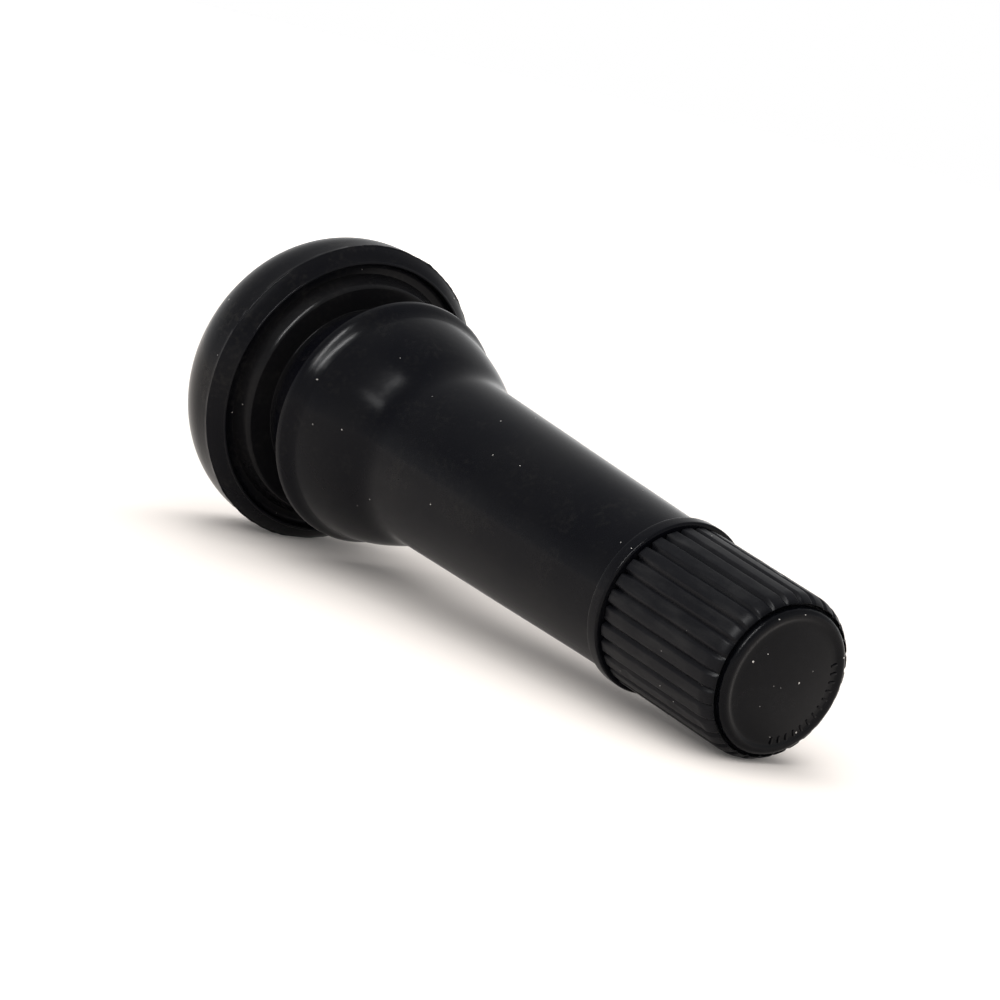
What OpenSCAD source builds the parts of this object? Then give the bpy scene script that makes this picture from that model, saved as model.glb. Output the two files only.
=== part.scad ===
// Snap-in tubeless tyre valve with its dust cap screwed on.
// It stands on its head: the base is at height zero and the cap is at the top.
// Millimetres, with the valve's axis on +Z.

/* [Rubber head] */
// Radius of the head at its parting edge
head_r = 9.85; // [9.4:0.05:12]
// Height of the parting edge above the base
parting_h = 5.15; // [4.6:0.05:7]
// Radius of the round between the base and the side
base_round = 3; // [1.5:0.1:3.6]
// Radius of the curve of the crowned side
crown_r = 10; // [8.5:0.5:20]
// Radius of the rounded lip above the parting edge
lip_round = 0.9; // [0.6:0.05:1.1]
// Depth of the groove inside the lip
lip_groove_d = 0.5; // [0.2:0.05:0.8]
// Width of the groove inside the lip
lip_groove_w = 0.62; // [0.4:0.02:0.8]
// Height of the sealing land above the lip
land_h = 0.37; // [0.2:0.01:0.8]
// Round on the sealing land's outer edge
land_round = 0.18; // [0.1:0.02:0.3]
// Radius of the air hole in the base
air_hole_r = 2.1; // [1.7:0.05:2.6]

/* [Rubber neck and bulb] */
// Radius of the neck that fills the hole in the wheel rim
neck_r = 6.2; // [5.6:0.05:6.6]
// Width of the groove that grips the wheel rim
rim_groove_w = 3.97; // [3.2:0.01:5]
// Fillet at both ends of the neck
neck_round = 0.6; // [0.3:0.05:0.9]
// Radius of the bulb's back edge
bulb_r = 7.96; // [7.7:0.02:8.6]
// Width of the bevel at the bulb's back edge
bulb_bevel_w = 0.56; // [0.3:0.02:0.8]
// Length of the bevel along the axis
bulb_bevel_h = 1.02; // [0.6:0.02:1.5]
// Length of the curve from the bevel to the stem
bulb_len = 6.6; // [5:0.1:9]

/* [Rubber stem] */
// Height of the rubber above the base
rubber_h = 40.4; // [36:0.1:42]
// Radius of the stem where the bulb runs out
stem_low_r = 5.55; // [5.2:0.05:6]
// Radius of the stem below the collar
stem_high_r = 4.9; // [4.6:0.05:5.15]
// Radius of the collar at the rubber's end
collar_r = 5.25; // [5.2:0.05:5.6]
// Length of the collar
collar_len = 1.1; // [0.8:0.05:2]
// Round on the collar's upper edge
collar_round = 0.22; // [0.1:0.02:0.34]

/* [Brass stem] */
// Length of the stem that stands out of the rubber
bare_len = 8.1; // [7:0.1:9.6]
// Outer radius of the cap thread
cap_thread_r = 3.875; // [3.8:0.005:4]
// Length of the threaded part that is sunk in the rubber
sunk_thread_len = 2.6; // [1.5:0.1:4]
// Radius of the shank in the rubber
shank_r = 3.3; // [2.9:0.05:3.6]
// Depth of the grooves that key the shank into the rubber
key_groove_d = 0.3; // [0.1:0.05:0.5]
// Width of each key groove
key_groove_w = 0.9; // [0.5:0.05:1.2]
// Spacing of the key grooves
key_groove_pitch = 2.4; // [1.8:0.1:3]
// Number of key grooves
key_groove_count = 5; // [2:1:6]
// Height of the lowest key groove
key_groove_h = 12; // [8:0.5:16]
// Radius of the foot
foot_r = 4.6; // [4:0.05:5]
// Thickness of the foot
foot_t = 1.3; // [0.8:0.1:2]
// Rubber below the foot
foot_cover = 0.9; // [0.5:0.05:1.5]
// Radius of the air passage
air_r = 1.5; // [1.2:0.05:1.65]
// Radius of the chamber round the core
chamber_r = 1.85; // [1.8:0.01:2]
// Depth of the chamber's lower end below the tip
chamber_depth = 21; // [20.5:0.1:24]
// Radius of the threaded chamber that holds the core's plug
core_thread_r = 2.6; // [2.55:0.01:2.8]
// Radius of the conical seat at its wide end
seat_r = 2.4; // [2.3:0.01:2.5]
// Length of the conical seat
seat_len = 2.5; // [2.1:0.05:3.2]
// Chamfer round the tip
tip_chamfer = 0.45; // [0.2:0.05:0.7]
// Chamfer at the mouth of the threaded chamber
mouth_chamfer = 0.25; // [0.1:0.05:0.4]

/* [Valve core] */
// Depth of the plug's top below the stem's tip
plug_drop = 0.6; // [0.4:0.05:0.9]
// Length of the plug
plug_len = 5.6; // [5.2:0.05:5.8]
// Clearance of the plug in the stem's thread
plug_gap = 0.03; // [0.01:0.01:0.06]
// Chamfer on both ends of the plug
plug_chamfer = 0.25; // [0.1:0.05:0.35]
// Width of the bridge across the plug's top
bridge_w = 2.3; // [1.9:0.05:2.6]
// Height of the bridge's wrench flats
flat_h = 2.7; // [2.2:0.05:3]
// Thickness of the bridge above the plug's air passage
bridge_t = 1.6; // [1.2:0.05:1.9]
// Radius of the air passage in the plug
plug_air_r = 1.4; // [1.25:0.05:1.5]
// Radius of the barrel's swivel head
swivel_r = 1.75; // [1.6:0.05:1.9]
// Thickness of the barrel's swivel head
swivel_t = 0.8; // [0.5:0.05:1]
// Radius of the neck under the swivel head
swivel_neck_r = 1.32; // [1.28:0.02:1.4]
// Thickness of the plug's crimped lip round the swivel neck
crimp_t = 0.3; // [0.2:0.05:0.5]
// Running clearance of the swivel
swivel_gap = 0.06; // [0.03:0.01:0.1]
// Radius of the barrel
barrel_r = 1.6; // [1.55:0.01:1.7]
// Radius of the barrel's spring chamber
barrel_bore_r = 1.1; // [1.07:0.01:1.15]
// Length of the barrel below the gasket
barrel_len = 8.6; // [8.1:0.1:9]
// Radius of the barrel's lower hole
barrel_hole_r = 0.8; // [0.72:0.02:0.86]
// Thickness of the shoulder that carries the spring
barrel_shoulder_t = 0.8; // [0.5:0.05:1.2]
// Radius of the barrel's lower lip
barrel_lip_r = 1.2; // [1.15:0.02:1.3]
// Thickness of the barrel's flange between the gasket and the plug
flange_t = 0.6; // [0.3:0.05:0.7]
// Length of the tapered gasket
gasket_len = 1.6; // [1.2:0.05:1.8]
// Distance from the plug down to the seat's wide end
seat_drop = 0.2; // [0.1:0.05:0.3]
// Radius of the barrel inside the gasket
gasket_waist_r = 1.42; // [1.35:0.01:1.5]

/* [Pin and spring] */
// Radius of the pin
pin_r = 0.48; // [0.42:0.01:0.55]
// Depth of the pin's top below the stem's tip
pin_drop = 0.25; // [0.1:0.05:0.5]
// Running clearance of the pin in the bridge
pin_gap = 0.05; // [0.03:0.01:0.09]
// Chamfer on the pin's top
pin_chamfer = 0.12; // [0.05:0.01:0.2]
// Radius of the pin's spring collar
pin_collar_r = 0.95; // [0.88:0.01:1]
// Thickness of the pin's spring collar
pin_collar_t = 0.4; // [0.3:0.05:0.6]
// Length of the spring
spring_len = 8.9; // [8:0.1:9.6]
// Radius of the spring's wire
wire_r = 0.13; // [0.1:0.01:0.15]
// Radius of the spring's coils at the middle of the wire
coil_r = 0.8; // [0.76:0.01:0.84]
// Number of turns of the spring
coil_turns = 10; // [6:1:12]
// Radius of the cup
cup_r = 1.58; // [1.5:0.02:1.62]
// Thickness of the cup's wall and floor
cup_wall = 0.25; // [0.15:0.01:0.3]
// Height of the cup
cup_h = 0.95; // [0.7:0.05:1.1]
// Thickness of the seal in the cup
cup_seal_t = 0.9; // [0.85:0.05:1.2]
// Radius of the rivet head under the cup
rivet_r = 0.8; // [0.6:0.05:1]
// Thickness of the rivet head
rivet_t = 0.3; // [0.2:0.05:0.5]
// Clearance between the seal and the barrel's lip
seal_gap = 0.02; // [0.01:0.01:0.05]

/* [Dust cap] */
// Radius over the ribs at the cap's mouth
cap_r = 5; // [4.95:0.01:5.15]
// Radius over the ribs at the cap's far end
cap_end_r = 4.93; // [4.9:0.01:4.95]
// Gap between the cap and the rubber's collar
cap_gap = 0.15; // [0.05:0.01:0.4]
// Number of ribs
rib_count = 30; // [20:1:36]
// Depth of the grooves between the ribs
rib_groove_d = 0.38; // [0.2:0.01:0.42]
// Width of the grooves between the ribs
rib_groove_w = 0.52; // [0.3:0.01:0.6]
// Radius of the round at the end of the ribs
cap_round = 1.5; // [1:0.1:2]
// Radius of the shoulder where the ribs end
shoulder_r = 4.56; // [4.5:0.01:4.62]
// Width of the ring groove round the end disc
ring_groove_w = 0.2; // [0.1:0.01:0.3]
// Depth of the ring groove
ring_groove_d = 0.3; // [0.15:0.01:0.5]
// Height of the end disc above the shoulder
disc_h = 0.41; // [0.3:0.01:0.6]
// Round on the edge of the end disc
disc_round = 0.34; // [0.1:0.01:0.38]
// Width of the end disc's raised rim
disc_rim_w = 0.65; // [0.45:0.01:1]
// Depth of the end disc's face below its rim
disc_dish = 0.1; // [0.03:0.01:0.2]
// Thickness of the roof over the washer
roof_t = 1.38; // [1.2:0.01:1.8]
// Running clearance of the cap on the stem
cap_thread_gap = 0.05; // [0.03:0.01:0.08]
// Radius of the plain entry at the mouth
entry_r = 4.15; // [4.1:0.01:4.25]
// Depth of the plain entry
entry_d = 0.7; // [0.4:0.05:1]
// Chamfer round the mouth
mouth_edge = 0.15; // [0.05:0.01:0.2]
// Thickness of the washer
washer_t = 0.8; // [0.6:0.05:1.2]
// Radius of the hole in the washer
washer_hole_r = 1.6; // [1.2:0.05:2]
// Clearance round the washer
washer_gap = 0.1; // [0.05:0.01:0.15]

/* [Hidden] */
$fn = 96;

// Steps of one drawn round and of the bulb's curve
round_steps = 8;
bulb_steps = 22;
// Part of a half wave at which the bulb's curve starts
bulb_start_turn = 30;
// Sides of the spring's wire and rings in one turn
wire_sides = 6;
turn_rings = 18;
// Pitch of the spring's closed end turns, in wire diameters
end_pitch_share = 1.1;
// Overrun of every cut
over = 0.5;

// Heights of the rubber, from the base up
lip_top = parting_h + lip_round;
land_top = lip_top + land_h;
bulb_h = land_top + rim_groove_w;
bulb_front = bulb_h + bulb_bevel_h;
stem_low_h = bulb_front + bulb_len;
collar_h = rubber_h - collar_len;
collar_step = (collar_r - stem_high_r) / 2;
land_r = head_r - lip_round - lip_groove_w;

// Centre and end of the two curves that make the head's side
crown_x = head_r - crown_r;
base_x = crown_x + sqrt(pow(crown_r - base_round, 2) - pow(parting_h - base_round, 2));
side_turn = -asin((parting_h - base_round) / (crown_r - base_round));

// Heights of the brass stem, whose tip follows the rubber's end
tip_h = rubber_h + bare_len;
foot_h = foot_cover + foot_t;
thread_h = rubber_h - sunk_thread_len;
chamber_h = tip_h - chamber_depth;

// Heights of the core and its seat, from the tip down
plug_top = tip_h - plug_drop;
plug_low = plug_top - plug_len;
plug_r = core_thread_r - plug_gap;
swivel_low = plug_low + crimp_t + swivel_gap;
swivel_top = swivel_low + swivel_t;
seat_top = plug_low - seat_drop;
seat_low = seat_top - seat_len;
gasket_top = plug_low - flange_t;
gasket_low = gasket_top - gasket_len;
barrel_low = gasket_low - barrel_len;
spring_low = barrel_low + barrel_shoulder_t;
spring_top = spring_low + spring_len;
pin_top = tip_h - pin_drop;
cup_seal_top = barrel_low - seal_gap;
cup_seal_low = cup_seal_top - cup_seal_t;
cup_low = cup_seal_low - cup_wall;

// Heights of the cap
cap_low = rubber_h + cap_gap;
washer_low = tip_h + seal_gap;
washer_top = washer_low + washer_t;
cap_top = washer_top + roof_t;
shoulder_h = cap_top - disc_h;
disc_r = shoulder_r - ring_groove_w;
cap_bore_r = cap_thread_r + cap_thread_gap;

// Points of an arc round a centre, from one angle to another
function arc(x, y, r, from, to, steps = round_steps) =
    [for (i = [0:steps]) let (a = from + (to - from) * i / steps) [x + r * cos(a), y + r * sin(a)]];

// Radius of the plain stem at a height, and of the conical seat
function stem_r(h) = stem_low_r + (stem_high_r - stem_low_r) * (h - stem_low_h) / (collar_h - stem_low_h);
function seat_r_at(h) = chamber_r + (seat_r - chamber_r) * (h - seat_low) / seat_len;

// Outline of the bulb's curve, the end of a cosine wave that eases into the stem
function bulb_curve() =
    let (rise = (bulb_r - bulb_bevel_w - stem_r(bulb_front)) / (1 + cos(bulb_start_turn)))
    [for (i = [0:bulb_steps])
        let (h = bulb_front + bulb_len * i / bulb_steps,
             turn = bulb_start_turn + (180 - bulb_start_turn) * i / bulb_steps)
        [stem_r(h) + rise * (1 + cos(turn)), h]];

// Outline of the whole rubber moulding, from the base's centre to the top face
function rubber_outline() = concat(
    [[0, 0]],
    arc(base_x, base_round, base_round, -90, side_turn),
    arc(crown_x, parting_h, crown_r, side_turn, 0),
    arc(head_r - lip_round, parting_h, lip_round, 0, 90),
    [[land_r + lip_groove_w / 2, lip_top - lip_groove_d], [land_r, lip_top - lip_groove_d / 2]],
    arc(land_r - land_round, land_top - land_round, land_round, 0, 90),
    arc(neck_r + neck_round, land_top + neck_round, neck_round, 270, 180),
    arc(neck_r + neck_round, bulb_h - neck_round, neck_round, 180, 90),
    [[bulb_r, bulb_h]],
    bulb_curve(),
    arc(stem_high_r + collar_step, collar_h, collar_step, 180, 90),
    arc(collar_r - collar_step, collar_h + collar_step * 2, collar_step, -90, 0),
    arc(collar_r - collar_round, rubber_h - collar_round, collar_round, 0, 90),
    [[0, rubber_h]]);

// Outside of the brass stem, also the space that it fills in the rubber
module stem_outside() {
    rotate_extrude()
        polygon(concat(
            [[0, foot_cover], [foot_r, foot_cover], [foot_r, foot_h], [shank_r, foot_h + foot_r - shank_r]],
            [for (i = [0:key_groove_count - 1]) let (h = key_groove_h + i * key_groove_pitch)
                each [[shank_r, h],
                      [shank_r - key_groove_d, h + key_groove_d],
                      [shank_r - key_groove_d, h + key_groove_w - key_groove_d],
                      [shank_r, h + key_groove_w]]],
            [[shank_r, thread_h - cap_thread_r + shank_r], [cap_thread_r, thread_h],
             [cap_thread_r, tip_h - tip_chamfer], [cap_thread_r - tip_chamfer, tip_h], [0, tip_h]]));
}

// The moulded rubber: head, rim groove, bulb, stem and collar
module rubber_body() {
    color([0.11, 0.11, 0.12])
        difference() {
            rotate_extrude() polygon(rubber_outline());
            stem_outside();
            translate([0, 0, -over]) cylinder(r = air_hole_r, h = foot_cover + over * 2);
        }
}

// The turned brass tube, bored from both ends
module brass_stem() {
    color([0.80, 0.64, 0.34])
        difference() {
            stem_outside();
            rotate_extrude()
                polygon([[0, -over], [air_r, -over], [air_r, chamber_h - chamber_r + air_r],
                         [chamber_r, chamber_h], [chamber_r, seat_low], [seat_r, seat_top],
                         [core_thread_r, seat_top], [core_thread_r, tip_h - mouth_chamfer],
                         [core_thread_r + mouth_chamfer, tip_h],
                         [core_thread_r + mouth_chamfer, tip_h + over], [0, tip_h + over]]);
        }
}

// The core's threaded plug, with wrench flats and the bridge that guides the pin
module core_plug() {
    color([0.83, 0.69, 0.42])
        difference() {
            rotate_extrude()
                polygon([[0, plug_low], [plug_r - plug_chamfer, plug_low], [plug_r, plug_low + plug_chamfer],
                         [plug_r, plug_top - plug_chamfer], [plug_r - plug_chamfer, plug_top],
                         [0, plug_top]]);
            translate([0, 0, plug_low - over])
                cylinder(r = swivel_neck_r + swivel_gap, h = crimp_t + over * 2);
            translate([0, 0, plug_low + crimp_t])
                cylinder(r = swivel_r + swivel_gap, h = swivel_t + swivel_gap * 2);
            translate([0, 0, plug_low + crimp_t])
                cylinder(r = plug_air_r, h = plug_len - crimp_t - bridge_t);
            translate([0, 0, plug_top - bridge_t - over])
                cylinder(r = pin_r + pin_gap, h = bridge_t + over * 2);
            for (side = [0, 180])
                rotate([0, 0, side])
                    translate([bridge_w / 2, -plug_r - over, plug_top - flat_h])
                        cube([plug_r, (plug_r + over) * 2, flat_h + over]);
        }
}

// The core's barrel, hung in the plug by its swivel head
module core_barrel() {
    flange_r = seat_r_at(gasket_top) - swivel_gap;
    color([0.80, 0.66, 0.40])
        rotate_extrude()
            polygon([[barrel_hole_r, barrel_low], [barrel_lip_r, barrel_low],
                     [barrel_r, barrel_low + barrel_r - barrel_lip_r], [barrel_r, gasket_low],
                     [gasket_waist_r, gasket_low], [gasket_waist_r, gasket_top],
                     [flange_r, gasket_top], [flange_r, plug_low], [swivel_neck_r, plug_low],
                     [swivel_neck_r, swivel_low], [swivel_r, swivel_low], [swivel_r, swivel_top],
                     [barrel_bore_r, swivel_top], [barrel_bore_r, spring_low],
                     [barrel_hole_r, spring_low]]);
}

// The tapered gasket between the barrel and the stem's seat
module barrel_gasket() {
    color([0.62, 0.12, 0.10])
        rotate_extrude()
            polygon([[gasket_waist_r, gasket_low], [seat_r_at(gasket_low), gasket_low],
                     [seat_r_at(gasket_top), gasket_top], [gasket_waist_r, gasket_top]]);
}

// The pin, with its spring collar and the rivet head that holds the cup
module core_pin() {
    rivet_low = cup_low - rivet_t;
    color([0.86, 0.75, 0.50])
        rotate_extrude()
            polygon([[0, rivet_low], [rivet_r - rivet_t / 2, rivet_low], [rivet_r, rivet_low + rivet_t / 2],
                     [rivet_r, cup_low], [pin_r, cup_low], [pin_r, spring_top], [pin_collar_r, spring_top],
                     [pin_collar_r, spring_top + pin_collar_t], [pin_r, spring_top + pin_collar_t],
                     [pin_r, pin_top - pin_chamfer], [pin_r - pin_chamfer, pin_top], [0, pin_top]]);
}

// The pressed cup on the pin's lower end
module core_cup() {
    color([0.84, 0.72, 0.46])
        rotate_extrude()
            polygon([[pin_r, cup_low], [cup_r - cup_wall, cup_low], [cup_r, cup_low + cup_wall],
                     [cup_r, cup_low + cup_h], [cup_r - cup_wall, cup_low + cup_h],
                     [cup_r - cup_wall, cup_low + cup_wall], [pin_r, cup_low + cup_wall]]);
}

// The rubber seal in the cup, which closes the barrel's lip
module cup_seal() {
    color([0.13, 0.13, 0.13])
        translate([0, 0, cup_seal_low])
            difference() {
                cylinder(r = cup_r - cup_wall, h = cup_seal_t);
                translate([0, 0, -over]) cylinder(r = pin_r, h = cup_seal_t + over * 2);
            }
}

// Height of the spring's wire after a number of turns, with one closed turn at each end
function wire_h(turn) =
    let (end_rise = wire_r * 2 * end_pitch_share,
         first = spring_low + wire_r,
         last = spring_top - wire_r,
         open_pitch = (last - first - end_rise * 2) / (coil_turns - 2))
    turn < 1 ? first + end_rise * turn
    : turn > coil_turns - 1 ? last - end_rise * (coil_turns - turn)
    : first + end_rise + open_pitch * (turn - 1);

// The coil spring round the pin
module core_spring() {
    rings = coil_turns * turn_rings;
    points = [for (i = [0:rings], k = [0:wire_sides - 1])
        let (turn = i / turn_rings, side = 360 * k / wire_sides, r = coil_r + wire_r * cos(side))
            [r * cos(360 * turn), r * sin(360 * turn), wire_h(turn) + wire_r * sin(side)]];
    walls = [for (i = [0:rings - 1], k = [0:wire_sides - 1])
        let (a = i * wire_sides + k, b = i * wire_sides + (k + 1) % wire_sides)
            each [[a, b, b + wire_sides], [a, b + wire_sides, a + wire_sides]]];
    first_end = [for (k = [wire_sides - 1:-1:0]) k];
    last_end = [for (k = [0:wire_sides - 1]) rings * wire_sides + k];
    color([0.72, 0.73, 0.75]) polyhedron(points, concat(walls, [first_end, last_end]));
}

// One groove between two ribs, as long as the cap
module rib_groove() {
    floor_r = cap_r - rib_groove_d;
    translate([0, 0, cap_low - over])
        linear_extrude(height = cap_top - cap_low + over)
            polygon([[floor_r, 0], [floor_r + rib_groove_d * 2, -rib_groove_w],
                     [floor_r + rib_groove_d * 2, rib_groove_w]]);
}

// The ribbed cap: ribs that run out on a round shoulder, a ring groove and a dished end disc
module dust_cap() {
    round_x = cap_end_r - cap_round;
    round_turn = acos((shoulder_r - round_x) / cap_round);
    round_h = shoulder_h - cap_round * sin(round_turn);
    ring_floor = shoulder_h - ring_groove_d;
    color([0.13, 0.13, 0.14])
        difference() {
            rotate_extrude()
                polygon(concat(
                    [[0, cap_low], [cap_r - mouth_edge, cap_low], [cap_r, cap_low + mouth_edge]],
                    arc(round_x, round_h, cap_round, 0, round_turn),
                    [[disc_r + ring_groove_w / 2, ring_floor], [disc_r, ring_floor]],
                    arc(disc_r - disc_round, cap_top - disc_round, disc_round, 0, 90),
                    [[disc_r - disc_rim_w, cap_top - disc_dish], [0, cap_top - disc_dish]]));
            rotate_extrude()
                polygon([[0, cap_low - over], [entry_r, cap_low - over], [entry_r, cap_low + entry_d],
                         [cap_bore_r, cap_low + entry_d + entry_r - cap_bore_r],
                         [cap_bore_r, washer_top], [0, washer_top]]);
            for (i = [0:rib_count - 1])
                rotate([0, 0, 360 * i / rib_count]) rib_groove();
        }
}

// The washer in the cap's roof, on the stem's tip
module cap_seal() {
    color([0.16, 0.16, 0.16])
        translate([0, 0, washer_low])
            difference() {
                cylinder(r = cap_bore_r - washer_gap, h = washer_t);
                translate([0, 0, -over]) cylinder(r = washer_hole_r, h = washer_t + over * 2);
            }
}

rubber_body();
brass_stem();
core_plug();
core_barrel();
barrel_gasket();
core_pin();
core_cup();
cup_seal();
core_spring();
dust_cap();
cap_seal();
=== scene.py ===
"""Snap-in tubeless tyre valve in black rubber, with its ribbed dust cap, brass stem and valve core.

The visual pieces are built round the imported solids, in the same frame: the valve stands on its head
along Z. The camera is rolled so that the picture shows it lying on a white sheet.
"""

import logging
import math
from dataclasses import dataclass
from enum import Enum
from typing import Callable

import bmesh
import bpy
from mathutils import Matrix, Vector, noise


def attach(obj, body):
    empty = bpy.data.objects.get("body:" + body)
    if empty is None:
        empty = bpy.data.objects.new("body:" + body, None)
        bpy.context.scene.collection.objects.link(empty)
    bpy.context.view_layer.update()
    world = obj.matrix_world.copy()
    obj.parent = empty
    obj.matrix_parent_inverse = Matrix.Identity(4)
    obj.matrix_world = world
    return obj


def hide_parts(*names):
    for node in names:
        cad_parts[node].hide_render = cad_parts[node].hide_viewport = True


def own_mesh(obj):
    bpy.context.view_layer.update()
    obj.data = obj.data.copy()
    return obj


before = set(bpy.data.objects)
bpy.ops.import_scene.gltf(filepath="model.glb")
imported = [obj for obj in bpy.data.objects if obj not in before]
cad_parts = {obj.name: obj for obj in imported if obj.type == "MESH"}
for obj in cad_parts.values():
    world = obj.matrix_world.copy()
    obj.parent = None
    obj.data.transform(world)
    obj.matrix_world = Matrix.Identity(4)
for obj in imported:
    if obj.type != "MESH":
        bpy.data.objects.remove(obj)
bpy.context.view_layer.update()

LOG = logging.getLogger("tyre_valve")
MM = 0.001
FULL_TURN = 2 * math.pi

Point = tuple[float, float]
Triple = tuple[float, float, float]


class Body(Enum):
    """The bodies that the visual pieces ride on."""

    VALVE = "valve"
    CAP = "cap"


class Slot(Enum):
    """The record's material slots."""

    RUBBER = "black_rubber"
    BRASS = "brass"
    GASKET = "gasket"
    SEAL = "seal_rubber"
    STEEL = "spring_steel"
    PLASTIC = "black_plastic"


@dataclass(frozen=True)
class Value:
    """A number that flows through a node tree and takes Python's arithmetic."""

    tree: "Tree"
    socket: bpy.types.NodeSocket

    def __add__(self, other: "Value | float") -> "Value":
        """Adds."""
        return self.tree.math("ADD", self, other)

    def __sub__(self, other: "Value | float") -> "Value":
        """Subtracts."""
        return self.tree.math("SUBTRACT", self, other)

    def __rsub__(self, other: float) -> "Value":
        """Subtracts from a plain number."""
        return self.tree.math("SUBTRACT", other, self)

    def __mul__(self, other: "Value | float") -> "Value":
        """Multiplies."""
        return self.tree.math("MULTIPLY", self, other)

    def __truediv__(self, other: "Value | float") -> "Value":
        """Divides."""
        return self.tree.math("DIVIDE", self, other)

    def __rtruediv__(self, other: float) -> "Value":
        """Divides a plain number."""
        return self.tree.math("DIVIDE", other, self)

    def __neg__(self) -> "Value":
        """Changes the sign."""
        return self.tree.math("SUBTRACT", 0.0, self)

    __radd__ = __add__
    __rmul__ = __mul__


class Tree:
    """A shader or geometry node tree, with one method that adds any node."""

    def __init__(self, nodes: bpy.types.NodeTree) -> None:
        """Keeps the tree that nodes are added to.

        Args:
            nodes: The node tree.
        """
        self.nodes = nodes

    def add(self, kind: str, settings: dict | None = None, inputs: dict | None = None) -> bpy.types.Node:
        """Adds a node, sets it, and then fills or links its sockets.

        Args:
            kind: The node's type.
            settings: Attributes to set first.
            inputs: Values or links by the socket's name, identifier or number.

        Returns:
            The node.
        """
        node = self.nodes.nodes.new(kind)
        for name, value in (settings or {}).items():
            setattr(node, name, value)
        for key, value in (inputs or {}).items():
            self.feed(self.socket(node, key), value)
        return node

    def feed(self, socket: bpy.types.NodeSocket, value: object) -> None:
        """Links a socket to a node's output, or fills it with a plain value.

        Args:
            socket: The input socket.
            value: A wrapped number, an output socket or a plain value.
        """
        value = value.socket if isinstance(value, Value) else value
        if isinstance(value, bpy.types.NodeSocket):
            self.nodes.links.new(value, socket)
        else:
            socket.default_value = value

    @staticmethod
    def socket(node: bpy.types.Node, key: int | str) -> bpy.types.NodeSocket:
        """Finds an input socket.

        Args:
            node: The node that has it.
            key: Its number, identifier or name.

        Returns:
            The socket.
        """
        if isinstance(key, int):
            return node.inputs[key]
        found = [s for s in node.inputs if s.identifier == key]
        return found[0] if found else node.inputs[key]

    def result(self, node: bpy.types.Node, key: str) -> Value:
        """Finds an output by its identifier."""
        return Value(self, [s for s in node.outputs if s.identifier == key][0])

    def math(self, operation: str, *inputs: "Value | float") -> Value:
        """Adds a Math node.

        Args:
            operation: What it does.
            inputs: Its numbers.

        Returns:
            Its result.
        """
        node = self.add("ShaderNodeMath", {"operation": operation}, dict(enumerate(inputs)))
        return Value(self, node.outputs[0])

    def least(self, *inputs: "Value | float") -> Value:
        """The smaller of two numbers."""
        return self.math("MINIMUM", *inputs)

    def most(self, *inputs: "Value | float") -> Value:
        """The larger of two numbers."""
        return self.math("MAXIMUM", *inputs)

    def ramp(self, value: Value, start: float, end: float, low: float = 0.0, high: float = 1.0) -> Value:
        """Turns a range of one number smoothly into another range.

        Args:
            value: The number.
            start: Where the range starts.
            end: Where it ends.
            low: Result at the start and before.
            high: Result at the end and after.

        Returns:
            The result.
        """
        node = self.add("ShaderNodeMapRange", {"interpolation_type": "SMOOTHSTEP"},
                        {0: value, 1: start, 2: end, 3: low, 4: high})
        return Value(self, node.outputs[0])

    def vector(self, operation: str, *inputs: object) -> bpy.types.NodeSocket:
        """Adds a Vector Math node.

        Args:
            operation: What it does.
            inputs: Its vectors, in order.

        Returns:
            Its vector.
        """
        keys = ("Vector", "Scale") if operation == "SCALE" else (0, 1, 2)
        return self.add("ShaderNodeVectorMath", {"operation": operation}, dict(zip(keys, inputs))).outputs[0]

    def split(self, vector: bpy.types.NodeSocket) -> tuple[Value, Value, Value]:
        """The three numbers of a vector."""
        node = self.add("ShaderNodeSeparateXYZ", {}, {0: vector})
        return Value(self, node.outputs[0]), Value(self, node.outputs[1]), Value(self, node.outputs[2])

    def join(self, x: object, y: object, z: object) -> bpy.types.NodeSocket:
        """A vector of three numbers."""
        return self.add("ShaderNodeCombineXYZ", {}, {0: x, 1: y, 2: z}).outputs[0]


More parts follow.
